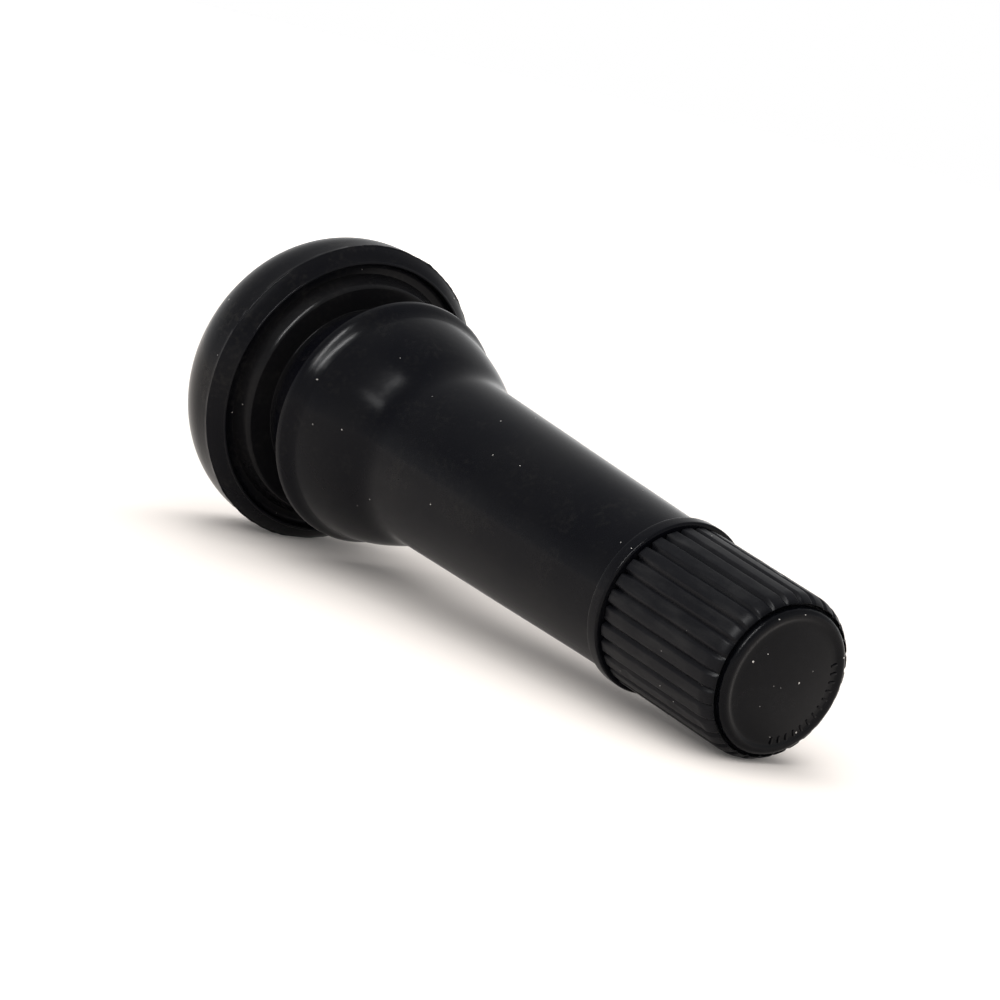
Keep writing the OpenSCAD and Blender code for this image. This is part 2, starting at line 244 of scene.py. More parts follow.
class Shading(Tree):
    """A material's node tree, with its shader and the patterns that finishes share."""

    def __init__(self, name: str) -> None:
        """Starts a material.

        Args:
            name: The material's name.
        """
        self.material = bpy.data.materials.new(name)
        self.material.use_nodes = True
        super().__init__(self.material.node_tree)
        self.nodes.nodes.clear()
        self.shader = self.add("ShaderNodeBsdfPrincipled")
        self.add("ShaderNodeOutputMaterial", {}, {"Surface": self.shader.outputs[0]})
        place = self.add("ShaderNodeTexCoord").outputs["Object"]
        self.place = self.vector("SCALE", place, 1 / MM)
        self.x, self.y, self.z = self.split(self.place)
        self.radius = self.math("SQRT", self.x * self.x + self.y * self.y)

    def set(self, **inputs: object) -> None:
        """Sets the shader's sockets; an underscore stands for a space in a name."""
        for name, value in inputs.items():
            self.feed(self.shader.inputs[name.replace("_", " ")], value)

    def grain(self, size: float, detail: float = 3.0, stretch: Triple = (1, 1, 1), shift: float = 0.0,
              rough: float = 0.5) -> Value:
        """Noise from 0 to 1.

        Args:
            size: Size of its features in millimetres.
            detail: Layers of finer noise.
            stretch: Factors on the three coordinates.
            shift: Offset, so that two noises differ.
            rough: Weight of the finer layers.

        Returns:
            The noise.
        """
        place = self.add("ShaderNodeMapping", {}, {
            "Vector": self.place, "Location": (shift, shift * 0.7, -shift), "Scale": stretch}).outputs[0]
        node = self.add("ShaderNodeTexNoise", {}, {
            "Vector": place, "Scale": 1 / size, "Detail": detail, "Roughness": rough})
        return Value(self, node.outputs[0])

    def rings(self, size: float, around: float) -> Value:
        """Noise drawn out round the axis, as turned moulds leave it.

        Args:
            size: Height of its features in millimetres.
            around: How much it changes round the axis.

        Returns:
            The noise.
        """
        place = self.join(self.x / self.radius * around, self.y / self.radius * around,
                          (self.z + self.radius * 0.4) / size)
        return Value(self, self.add("ShaderNodeTexNoise", {}, {
            "Vector": place, "Scale": 1.0, "Detail": 3.0, "Roughness": 0.6}).outputs[0])

    def blend(self, share: Value, first: Triple | bpy.types.NodeSocket,
              second: Triple | bpy.types.NodeSocket) -> bpy.types.NodeSocket:
        """Mixes two colours.

        Args:
            share: Share of the second.
            first: Colour at share 0.
            second: Colour at share 1.

        Returns:
            The mixed colour.
        """
        def opaque(colour: object) -> object:
            """Adds the fourth number to a plain colour."""
            return (*colour, 1.0) if isinstance(colour, tuple) else colour
        node = self.add("ShaderNodeMix", {"data_type": "RGBA"}, {
            "Factor_Float": share, "A_Color": opaque(first), "B_Color": opaque(second)})
        return self.result(node, "Result_Color").socket

    def relief(self, height: Value, depth: float, strength: float = 1.0) -> None:
        """Turns a height from 0 to 1 into the surface's bumps.

        Args:
            height: The height.
            depth: Its depth in millimetres.
            strength: Strength of the effect.
        """
        bump = self.add("ShaderNodeBump", {}, {
            "Height": height, "Distance": depth * MM, "Strength": strength})
        self.set(Normal=bump.outputs[0])


@dataclass(frozen=True)
class MouldedRubber:
    """Moulded black rubber: satin, with faint mould rings, grain, dull blotches and a pale dusty blooming,
    plus painted fill light that makes the rim groove and land paler where shade falls.
    """

    name: str = "moulded_rubber"
    colour: Triple = (0.0026, 0.0028, 0.0044)
    worn: Triple = (0.0044, 0.0045, 0.0058)
    bloom_and_fill_light: Triple = (0.0140, 0.0135, 0.0130)
    roughness: float = 0.19
    dull: float = 0.08
    gloss: float = 0.078
    head_top: float = 6.6
    bulb_top: float = 13.0
    # Where the painted fill light in the rim groove and on the land stops.
    groove_r: float = 8.3
    groove_top: float = 7.0

    def material(self) -> bpy.types.Material:
        """Builds the finish."""
        s = Shading(self.name)
        blotch = s.grain(4.5, 4, shift=3)
        speckle = s.grain(0.35, 2, shift=9)
        head = s.ramp(s.z, self.head_top, self.head_top - 2)
        tone = s.blend(s.ramp(blotch, 0.35, 0.7), self.colour, self.worn)
        dusty = s.ramp(speckle * 0.5 + s.grain(2.2, 5, shift=1) * 0.5, 0.5, 0.72)
        # Rim groove and land: their colour is made paler here as painted fill light that lifts their shade.
        groove = s.ramp(s.radius, self.groove_r + 0.2, self.groove_r - 0.2) * s.ramp(s.z, 4.8, 5.2)
        groove = groove * s.ramp(s.z, self.groove_top + 0.5, self.groove_top)
        # The pale colour is real dusty blooming, more on the head, plus the painted fill light in the rim
        # groove and on the land.
        s.set(Base_Color=s.blend(dusty * (0.35 + head * 0.5) + groove * 0.3, tone, self.bloom_and_fill_light))
        s.set(Roughness=self.roughness + (blotch - 0.5) * self.dull + (speckle - 0.5) * 0.06 + head * 0.05)
        ringed = s.rings(0.10, 5) * (0.12 + 0.5 * head + 0.06 * s.ramp(s.z, self.bulb_top, 10.0))
        height = s.grain(0.09, 2) * 0.45 + s.grain(0.45, 3, shift=2) * 0.25 + ringed
        s.relief(height, 0.007, 0.8)
        s.set(IOR=1.5, Specular_IOR_Level=self.gloss)
        return s.material


@dataclass(frozen=True)
class MouldedPlastic:
    """Moulded black plastic: a fine matt skin, scuffed paler where fingers and tools touch it; the end disc
    is smoother and carries painted shade that darkens its colour.
    """

    name: str = "moulded_plastic"
    colour: Triple = (0.0048, 0.0050, 0.0066)
    scuff: Triple = (0.0155, 0.0155, 0.0165)
    # Darker colour of the end disc: painted shade.
    painted_disc_shade: Triple = (0.0020, 0.0022, 0.0032)
    disc_h: float = 50.3
    roughness: float = 0.38
    gloss: float = 0.092
    crest_r: float = 4.97

    def material(self) -> bpy.types.Material:
        """Builds the finish."""
        s = Shading(self.name)
        streak = s.grain(0.5, 4, (1, 1, 0.16), 4)
        blotch = s.grain(2.4, 3, shift=7)
        crest = s.ramp(s.radius, self.crest_r - 0.16, self.crest_r)
        worn = s.ramp(streak * 0.6 + blotch * 0.4, 0.42, 0.68) * (0.25 + crest * 0.6)
        # End disc: its colour goes darker as painted shade, and its roughness drops as a real smoother face.
        disc = s.ramp(s.z, self.disc_h - 0.3, self.disc_h)
        s.set(Base_Color=s.blend(disc * (1 - worn), s.blend(worn, self.colour, self.scuff), self.painted_disc_shade))
        s.set(Roughness=self.roughness + (blotch - 0.5) * 0.12 + (streak - 0.5) * 0.10 - disc * 0.14)
        height = s.grain(0.07, 2) * 0.5 + streak * 0.3 + s.grain(0.3, 3, shift=2) * 0.2
        s.relief(height, 0.006, 0.8)
        s.set(IOR=1.5, Specular_IOR_Level=self.gloss)
        return s.material


@dataclass(frozen=True)
class TurnedBrass:
    """Turned brass with fine tool rings, slightly tarnished."""

    name: str = "turned_brass"
    colour: Triple = (0.70, 0.50, 0.22)
    tarnish: Triple = (0.38, 0.25, 0.10)
    roughness: float = 0.26
    ring_pitch: float = 0.05

    def material(self) -> bpy.types.Material:
        """Builds the finish."""
        s = Shading(self.name)
        dull = s.ramp(s.grain(1.6, 4, shift=6), 0.42, 0.75)
        ring = s.math("SINE", (s.z + s.radius * 0.7) * (FULL_TURN / self.ring_pitch) + s.grain(0.8, 2) * 2)
        s.set(Base_Color=s.blend(dull * 0.65, self.colour, self.tarnish))
        s.set(Roughness=self.roughness + dull * 0.16 + ring * 0.03)
        s.relief(ring * 0.25 + s.grain(0.12, 2, shift=2) * 0.5, 0.004, 0.6)
        s.set(Metallic=1.0)
        return s.material


@dataclass(frozen=True)
class SealRubber:
    """Soft rubber of the seals and the gasket: matt, finely pitted."""

    name: str
    colour: Triple
    worn: Triple
    roughness: float = 0.62

    def material(self) -> bpy.types.Material:
        """Builds the finish."""
        s = Shading(self.name)
        blotch = s.grain(0.7, 4, shift=8)
        s.set(Base_Color=s.blend(s.ramp(blotch, 0.35, 0.75), self.colour, self.worn))
        s.set(Roughness=self.roughness + (blotch - 0.5) * 0.2)
        s.relief(s.grain(0.06, 3) * 0.7 + blotch * 0.3, 0.008, 0.8)
        return s.material


@dataclass(frozen=True)
class SpringWire:
    """Drawn steel wire with faint draw lines."""

    name: str = "spring_wire"
    colour: Triple = (0.52, 0.53, 0.55)
    dark: Triple = (0.26, 0.26, 0.27)
    roughness: float = 0.30

    def material(self) -> bpy.types.Material:
        """Builds the finish."""
        s = Shading(self.name)
        dull = s.ramp(s.grain(0.4, 4, shift=5), 0.4, 0.75)
        s.set(Base_Color=s.blend(dull, self.colour, self.dark))
        s.set(Roughness=self.roughness + dull * 0.15)
        s.relief(s.grain(0.03, 2, (1, 1, 3)), 0.002, 0.6)
        s.set(Metallic=1.0)
        return s.material


@dataclass(frozen=True)
class Lint:
    """Pale dust and lint that clings to the rubber."""

    name: str = "lint"
    pale: Triple = (0.62, 0.60, 0.57)
    grey: Triple = (0.16, 0.155, 0.15)

    def material(self) -> bpy.types.Material:
        """Builds the finish."""
        s = Shading(self.name)
        kind = s.ramp(s.grain(0.9, 1, shift=2), 0.4, 0.62)
        s.set(Base_Color=s.blend(kind, self.grey, self.pale))
        s.set(Roughness=0.9 - kind * 0.2)
        s.relief(s.grain(0.02, 2), 0.01, 0.6)
        return s.material


def arc(x: float, y: float, radius: float, start: float, end: float, steps: int = 10) -> list[Point]:
    """Points of an arc in a section.

    Args:
        x: Radius of its centre, in millimetres.
        y: Height of its centre.
        radius: Its radius.
        start: First angle in degrees.
        end: Last angle.
        steps: Steps between them.

    Returns:
        The points, as radius and height.
    """
    turns = [math.radians(start + (end - start) * i / steps) for i in range(steps + 1)]
    return [(x + radius * math.cos(t), y + radius * math.sin(t)) for t in turns]


def run(start: Point, end: Point, steps: int) -> list[Point]:
    """Points between two points, without the two.

    Args:
        start: First point.
        end: Last point.
        steps: Steps between them.

    Returns:
        The points.
    """
    return [(start[0] + (end[0] - start[0]) * i / steps, start[1] + (end[1] - start[1]) * i / steps)
            for i in range(1, steps)]


def bowed(start: Point, end: Point, bow: float, steps: int) -> list[Point]:
    """Points of a shallow curve that bulges outwards, without its end.

    Args:
        start: First point.
        end: Last point.
        bow: Height of the bulge over the straight line.
        steps: Steps between them.

    Returns:
        The points.
    """
    x, y = end[0] - start[0], end[1] - start[1]
    long = math.hypot(x, y)
    shares = [i / steps for i in range(steps)]
    return [(start[0] + x * t + y / long * bow * 4 * t * (1 - t),
             start[1] + y * t - x / long * bow * 4 * t * (1 - t)) for t in shares]


def placed(name: str, data: bpy.types.ID) -> bpy.types.Object:
    """Puts a new object into the scene, at the origin.

    Args:
        name: Its name.
        data: Its mesh, light or camera.

    Returns:
        The object.
    """
    item = bpy.data.objects.new(name, data)
    bpy.context.scene.collection.objects.link(item)
    return item


def revolved(name: str, outline: list[Point], turns: list[float], closed: bool = True,
             shape: Callable[[float, float, float], Point] | None = None) -> bpy.types.Object:
    """Turns a closed section round Z into a mesh.

    Args:
        name: Name of the piece.
        outline: Radius and height all the way round the section, in millimetres.
        turns: Angles of the sections, in radians.
        closed: Whether the last section joins the first.
        shape: Gives the radius and height of a point from its angle, radius and height.

    Returns:
        The object, at the origin.
    """
    rows: list[list[int]] = []
    points: list[Vector] = []
    for radius, height in outline:
        if radius < 1e-6:
            rows.append([len(points)] * len(turns))
            points.append(Vector((0, 0, height * MM)))
            continue
        rows.append(list(range(len(points), len(points) + len(turns))))
        for turn in turns:
            r, z = shape(turn, radius, height) if shape else (radius, height)
            points.append(Vector((r * math.cos(turn), r * math.sin(turn), z)) * MM)
    faces = []
    for here, there in zip(rows, rows[1:] + rows[:1]):
        for i in range(len(turns) if closed else len(turns) - 1):
            k = (i + 1) % len(turns)
            face = list(dict.fromkeys((here[i], here[k], there[k], there[i])))
            if len(face) > 2:
                faces.append(face)
    mesh = bpy.data.meshes.new(name)
    mesh.from_pydata(points, [], faces)
    return placed(name, mesh)


def tidied(piece: bpy.types.Object, sharp: float = 32.0, merge: float = 1e-7) -> bpy.types.Object:
    """Merges doubles, turns the faces outwards and shades smoothly up to an angle.

    Args:
        piece: The piece, whose shells are closed.
        sharp: Angle in degrees from which an edge stays sharp.
        merge: Distance in metres under which points are one.

    Returns:
        The piece.
    """
    work = bmesh.new()
    work.from_mesh(piece.data)
    bmesh.ops.remove_doubles(work, verts=work.verts, dist=merge)
    bmesh.ops.recalc_face_normals(work, faces=work.faces)
    work.to_mesh(piece.data)
    work.free()
    piece.data.shade_smooth()
    piece.data.set_sharp_from_angle(angle=math.radians(sharp))
    return piece


def finished(piece: bpy.types.Object, finish: bpy.types.Material, body: Body, slot: Slot,
             *nodes: str) -> bpy.types.Object:
    """Gives a piece its finish and its place on a body.

    Args:
        piece: The piece, with its final mesh.
        finish: Its material.
        body: The body that it rides on.
        slot: The record's slot for its finish; not used.
        nodes: The nodes of the solids that it stands for.

    Returns:
        The piece.
    """
    piece.data.materials.clear()
    piece.data.materials.append(finish)
    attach(piece, body.value)
    if nodes:
        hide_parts(*nodes)
    faces = len(piece.data.polygons)
    LOG.info("%s rides on %s, %d faces, stands for %s", piece.name, body.value, faces, nodes or "no node")
    return piece


class Growth(Tree):
    """A geometry node tree with named inputs, whose result becomes a plain mesh."""

    SOCKETS = {float: "NodeSocketFloat", int: "NodeSocketInt"}

    def __init__(self, name: str, **inputs: float | int) -> None:
        """Starts a tree.

        Args:
            name: The tree's name.
            inputs: Its named inputs and their first values.
        """
        tree = bpy.data.node_groups.new(name, "GeometryNodeTree")
        super().__init__(tree)
        tree.interface.new_socket("Geometry", in_out="INPUT", socket_type="NodeSocketGeometry")
        tree.interface.new_socket("Finish", in_out="INPUT", socket_type="NodeSocketMaterial")
        for key, value in inputs.items():
            socket = tree.interface.new_socket(key, in_out="INPUT", socket_type=self.SOCKETS[type(value)])
            socket.default_value = value
        tree.interface.new_socket("Geometry", in_out="OUTPUT", socket_type="NodeSocketGeometry")
        self.start = self.add("NodeGroupInput")

    def given(self, name: str) -> Value:
        """One of the tree's named inputs."""
        return Value(self, self.start.outputs[name])

    def end(self, geometry: bpy.types.NodeSocket) -> None:
        """Realizes the result, sets its material and links it to the output.

        Args:
            geometry: The result.
        """
        whole = self.add("GeometryNodeRealizeInstances", {}, {0: geometry}).outputs[0]
        dressed = self.add("GeometryNodeSetMaterial", {}, {
            "Geometry": whole, "Material": self.start.outputs["Finish"]})
        self.add("NodeGroupOutput", {}, {0: dressed.outputs[0]})

    def grow(self, piece: bpy.types.Object, finish: bpy.types.Material, **inputs: float | int) -> None:
        """Runs the tree on a piece and keeps the result as its plain mesh.

        Args:
            piece: The piece whose mesh goes in.
            finish: The material that the tree sets.
            inputs: Values of the named inputs.
        """
        modifier = piece.modifiers.new(self.nodes.name, "NODES")
        modifier.node_group = self.nodes
        for item in self.nodes.interface.items_tree:
            if item.in_out == "INPUT" and item.name in inputs:
                modifier[item.identifier] = inputs[item.name]
            elif item.in_out == "INPUT" and item.name == "Finish":
                modifier[item.identifier] = finish
        graph = bpy.context.evaluated_depsgraph_get()
        mesh = bpy.data.meshes.new_from_object(piece.evaluated_get(graph), depsgraph=graph)
        piece.modifiers.remove(modifier)
        piece.data = mesh
        LOG.info("%s grew to %d faces with %s", piece.name, len(mesh.polygons), self.nodes.name)


def ring_repeat() -> Growth:
    """A tree that repeats one sector round Z and merges the seams."""
    g = Growth("ring_repeat", Count=30, Merge=1e-7)
    points = g.add("GeometryNodePoints", {}, {"Count": g.given("Count")}).outputs[0]
    turn = Value(g, g.add("GeometryNodeInputIndex").outputs[0]) * FULL_TURN / g.given("Count")
    spin = g.add("FunctionNodeAxisAngleToRotation", {}, {"Axis": (0, 0, 1), "Angle": turn}).outputs[0]
    sectors = g.add("GeometryNodeInstanceOnPoints", {}, {
        "Points": points, "Instance": g.start.outputs["Geometry"], "Rotation": spin}).outputs[0]
    whole = g.add("GeometryNodeRealizeInstances", {}, {0: sectors}).outputs[0]
    merged = g.add("GeometryNodeMergeByDistance", {}, {"Geometry": whole, "Distance": g.given("Merge")})
    g.end(merged.outputs[0])
    return g


def screw_thread() -> Growth:
    """A tree that cuts or raises a helical thread in the part of a mesh at one radius."""
    g = Growth("screw_thread", Pitch=0.794, Depth=0.4, Low=0.0, High=1.0, Fade=0.4, Radius=1.0, Reach=0.3,
               Flat=0.2)
    place = g.vector("SCALE", g.add("GeometryNodeInputPosition").outputs[0], 1 / MM)
    x, y, z = g.split(place)
    radius = g.math("SQRT", x * x + y * y)
    phase = g.math("FRACT", z / g.given("Pitch") - g.math("ARCTAN2", y, x) / FULL_TURN + 64)
    wave = g.math("ABSOLUTE", phase * 2 - 1)
    dip = g.least(g.most((wave - g.given("Flat")) / (1 - 2 * g.given("Flat")), 0.0), 1.0)
    ends = g.least(z - g.given("Low"), g.given("High") - z) / g.given("Fade")
    there = g.math("LESS_THAN", g.math("ABSOLUTE", radius - g.given("Radius")), g.given("Reach"))
    share = g.least(g.most(ends, 0.0), 1.0) * there * dip
    shift = -(share * g.given("Depth")) / radius * MM
    offset = g.vector("MULTIPLY", place, g.join(shift, shift, 0.0))
    moved = g.add("GeometryNodeSetPosition", {}, {"Geometry": g.start.outputs["Geometry"], "Offset": offset})
    g.end(moved.outputs[0])
    return g


def coiled_wire() -> Growth:
    """A tree that bends a wire into a compression spring with one closed turn at each end."""
    g = Growth("coiled_wire", Coil=0.8, Wire=0.13, Low=0.0, High=1.0, Turns=10.0, Steps=480, Sides=12)
    line = g.add("GeometryNodeMeshLine", {}, {"Count": g.given("Steps")}).outputs[0]
    share = Value(g, g.add("GeometryNodeInputIndex").outputs[0]) / (g.given("Steps") - 1)
    turn = share * g.given("Turns")
    first, last = g.given("Low") + g.given("Wire"), g.given("High") - g.given("Wire")
    closed = g.given("Wire") * 2.2
    pitch = (last - first - closed * 2) / (g.given("Turns") - 2)
    middle = g.least(g.most(turn - 1, 0.0), g.given("Turns") - 2)
    height = (first + closed * g.least(turn, 1.0) + pitch * middle
              + closed * g.most(turn - g.given("Turns") + 1, 0.0))
    angle = turn * FULL_TURN
    place = g.join(g.math("COSINE", angle) * g.given("Coil"), g.math("SINE", angle) * g.given("Coil"), height)
    bent = g.add("GeometryNodeSetPosition", {}, {
        "Geometry": line, "Position": g.vector("SCALE", place, MM)}).outputs[0]
    path = g.add("GeometryNodeMeshToCurve", {}, {"Mesh": bent}).outputs[0]
    ring = g.add("GeometryNodeCurvePrimitiveCircle", {}, {
        "Resolution": g.given("Sides"), "Radius": g.given("Wire") * MM}).outputs[0]
    wire = g.add("GeometryNodeCurveToMesh", {}, {
        "Curve": path, "Profile Curve": ring, "Fill Caps": True}).outputs[0]
    g.end(wire)
    return g


def clinging_dust() -> Growth:
    """A tree that scatters small flat crumbs over a surface."""
    g = Growth("clinging_dust", Density=0.02, Seed=4, Small=0.03, Large=0.075, Low=0.5, High=60.0)
    z = g.split(g.add("GeometryNodeInputPosition").outputs[0])[2] / MM
    above = g.math("GREATER_THAN", z, g.given("Low")) * g.math("LESS_THAN", z, g.given("High"))
    spots = g.add("GeometryNodeDistributePointsOnFaces", {}, {
        "Mesh": g.start.outputs["Geometry"], "Selection": above,
        "Density": g.given("Density") / (MM * MM), "Seed": g.given("Seed")})
    crumb = g.add("GeometryNodeMeshIcoSphere", {}, {"Radius": 1.0, "Subdivisions": 1}).outputs[0]
    spin = g.result(g.add("FunctionNodeRandomValue", {"data_type": "FLOAT"}, {
        "Max_001": FULL_TURN, "Seed": g.given("Seed")}), "Value_001")
    turned = g.add("FunctionNodeRotateRotation", {"rotation_space": "LOCAL"}, {
        "Rotation": spots.outputs["Rotation"],
        "Rotate By": g.add("FunctionNodeAxisAngleToRotation", {}, {
            "Axis": (0, 0, 1), "Angle": spin}).outputs[0]}).outputs[0]
    size = g.result(g.add("FunctionNodeRandomValue", {"data_type": "FLOAT"}, {
        "Seed": g.given("Seed") + 1}), "Value_001")
    scale = (g.given("Small") + (g.given("Large") - g.given("Small")) * size * size * size) * MM
    long = g.result(g.add("FunctionNodeRandomValue", {"data_type": "FLOAT"}, {
        "Min_001": 0.5, "Max_001": 1.8, "Seed": g.given("Seed") + 2}), "Value_001")
    crumbs = g.add("GeometryNodeInstanceOnPoints", {}, {
        "Points": spots.outputs["Points"], "Instance": crumb, "Rotation": turned,
        "Scale": g.join(scale * long, scale, scale * 0.45)}).outputs[0]
    g.end(crumbs)
    return g


def tick_arc() -> Growth:
    """A tree that repeats one small raised tick along an arc."""
    g = Growth("tick_arc", Count=12, First=0.0, Sweep=1.0)
    points = g.add("GeometryNodePoints", {}, {"Count": g.given("Count")}).outputs[0]
    index = Value(g, g.add("GeometryNodeInputIndex").outputs[0])
    turn = g.given("First") + g.given("Sweep") * index / (g.given("Count") - 1)
    spin = g.add("FunctionNodeAxisAngleToRotation", {}, {"Axis": (0, 0, 1), "Angle": turn}).outputs[0]
    ticks = g.add("GeometryNodeInstanceOnPoints", {}, {
        "Points": points, "Instance": g.start.outputs["Geometry"], "Rotation": spin}).outputs[0]
    g.end(ticks)
    return g


@dataclass
class RubberBody:
    """The moulded rubber: head, rim groove, bulb, tapering stem and collar. Sizes in millimetres."""

    head_r: float = 9.85
    parting_h: float = 5.15
    wall_h: float = 4.15
    side_round: float = 4.9
    lip_round: float = 0.9
    bead_r: float = 0.10
    lip_bow: float = 0.045
    groove_d: float = 0.48
    land_foot_r: float = 8.12
    land_r: float = 7.58
    land_h: float = 1.24
    land_round: float = 0.12
    land_bevel_r: float = 1.0
    hole_r: float = 2.1
    neck_r: float = 6.2
    neck_round: float = 0.6
    neck_foot: float = 0.05
    bulb_h: float = 10.39
    bulb_r: float = 7.96
    bevel_w: float = 0.56
    bevel_lead: float = 0.40
    lead_fall: float = 0.03
    bevel_h: float = 1.02
    bevel_swell: float = 0.46
    bulb_len: float = 6.4
    bulb_lean: float = 0.14
    bulb_steepest: float = 0.63
    bevel_steps: int = 42
    bulb_steps: int = 36
    edge_round: float = 0.05
    stem_low_r: float = 5.55
    stem_high_r: float = 4.9
    rubber_h: float = 40.44
    collar_len: float = 1.14
    collar_r: float = 5.25
    collar_round: float = 0.16
    fin_mark: float = 0.05
    fin_h: float = 0.012
    fin_profile: tuple[Point, ...] = ((0.0, -0.07), (0.7, -0.04), (1.0, 0.0), (0.7, 0.04), (0.0, 0.07))
    fin_zones: tuple[Triple, ...] = ((248.0, 42.0, 0.07), (70.0, 34.0, 0.07), (150.0, 26.0, 0.04))
    segments: int = 336

    def stem_low(self) -> float:
        """Height at which the bulb has become the plain stem."""
        return self.bulb_h + self.bevel_lead + self.bevel_h + self.bulb_len

    def stem_r(self, height: float) -> float:
        """Radius of the plain stem at a height."""
        low = self.stem_low()
        high = self.rubber_h - self.collar_len
        return self.stem_low_r + (self.stem_high_r - self.stem_low_r) * (height - low) / (high - low)

    def outside(self) -> list[Point]:
        """Outline of the rubber from the air hole in the base to the top face."""
        return self.dome() + self.lip() + self.land() + self.bulb() + self.collar()

    def dome(self) -> list[Point]:
        """Outline of the base, its round edge and the short wall up to the parting edge.

        Returns:
            The points, as radius and height.
        """
        side_x = self.head_r - self.side_round
        lean = math.sqrt(0.5)
        base_round = (self.wall_h - self.side_round * lean) / (1 - lean)
        base_x = side_x + (self.side_round - base_round) * lean
        points = [(self.hole_r, 0.0)] + run((self.hole_r, 0.0), (base_x, 0.0), 8)
        points += arc(base_x, base_round, base_round, -90, -45, 10)
        points += arc(side_x, self.wall_h, self.side_round, -45, 0, 22)[1:]
        return points + run(points[-1], (self.head_r, self.parting_h - 0.07), 5)

    def lip(self) -> list[Point]:
        """Outline of the moulding flash, the lip with its bead, and the groove beside it.

        Returns:
            The points.
        """
        points = [(self.head_r + self.fin_mark * share, self.parting_h + drop)
                  for share, drop in self.fin_profile]
        lip_x = self.head_r - self.lip_round
        lip_top = self.parting_h + self.lip_round
        bead = arc(lip_x + 0.04, lip_top + 0.03 - self.bead_r, self.bead_r, 6, 168, 13)
        points += bowed((self.head_r - 0.02, self.parting_h + 0.09), bead[0], self.lip_bow, 12) + bead
        floor = lip_top - self.groove_d
        points += [(lip_x - 0.10, floor + 0.26), (lip_x - 0.18, floor + 0.08), (lip_x - 0.29, floor + 0.01),
                   (lip_x - 0.40, floor), (self.land_foot_r + 0.06, floor + 0.03)]
        return points + [(self.land_foot_r, floor + 0.12)]

    def land(self) -> list[Point]:
        """Outline of the sealing land, the neck in the rim's hole and the bulb's back.

        Returns:
            The points.
        """
        floor = self.parting_h + self.lip_round - self.groove_d
        top = floor + self.land_h
        inset, lean = self.land_bevel_r - self.land_round, math.radians(36)
        corner = arc(self.land_r - inset * math.cos(lean), top - self.land_round - inset * math.sin(lean),
                     self.land_bevel_r, 19, 36, 7)
        corner += arc(self.land_r, top - self.land_round, self.land_round, 42, 90, 7)
        points = run((self.land_foot_r, floor + 0.12), corner[0], 6) + corner
        neck_x = self.neck_r + self.neck_foot
        points += run(points[-1], (neck_x, top), 6)
        points += arc(neck_x, top + self.neck_foot, self.neck_foot, 270, 180, 3)
        back_x = self.neck_r + self.neck_round
        points += run((self.neck_r, top + self.neck_foot), (self.neck_r, self.bulb_h - self.neck_round), 6)
        points += arc(back_x, self.bulb_h - self.neck_round, self.neck_round, 180, 90, 8)
        edge = self.edge_round
        points += run((back_x, self.bulb_h), (self.bulb_r - edge, self.bulb_h), 4)
        return points + arc(self.bulb_r - edge, self.bulb_h + edge, edge, -90, 4, 6)

    def bulb(self) -> list[Point]:
        """Outline of the bulb's bevel, steepest in its middle, and of its curve down to the stem.

        Returns:
            The points.
        """
        start = self.bulb_h + self.bevel_lead
        front = start + self.bevel_h
        front_r = self.bulb_r - self.bevel_w
        points = []
        fall, steps = 0.0, self.bevel_steps
        for i in range(steps):
            share = i / steps
            points.append((self.bulb_r - self.lead_fall - (self.bevel_w - self.lead_fall) * fall,
                           start + self.bevel_h * share))
            swell = math.sin(math.pi * (share + 0.5 / steps) ** 0.8) ** 2
            fall += (1 + self.bevel_swell * (swell - 0.5)) / steps
        above, peak = front_r - self.stem_r(front), self.bulb_steepest
        most = 2 * above / self.bulb_len - peak * self.bulb_lean
        steps = self.bulb_steps
        for i in range(1, steps + 1):
            share = (i - 0.5) / steps
            lean = self.bulb_lean + (most - self.bulb_lean) * share / peak
            if share > peak:
                lean = most * (1 + math.cos(math.pi * (share - peak) / (1 - peak))) / 2
            above -= lean * self.bulb_len / steps
            h = front + self.bulb_len * i / steps
            points.append((self.stem_r(h) + above, h))
        return points

    def collar(self) -> list[Point]:
        """Outline of the stem above the bulb and of the collar, up to the top face.

        Returns:
            The points.
        """
        low = self.stem_low()
        foot = self.rubber_h - self.collar_len
        step = (self.collar_r - self.stem_high_r) / 2
        points = run((self.stem_low_r, low), (self.stem_high_r, foot - 0.03), 24)
        points += [(self.stem_high_r, foot - 0.03), (self.stem_high_r - 0.045, foot)]
        points += arc(self.stem_high_r + step, foot, step, 165, 90, 5)
        points += arc(self.collar_r - step, foot + step * 2, step, -90, 0, 5)
        points += run((self.collar_r, foot + step * 2), (self.collar_r, self.rubber_h - self.collar_round), 3)
        points += arc(self.collar_r - self.collar_round, self.rubber_h - self.collar_round,
                      self.collar_round, 0, 90, 8)
        return points

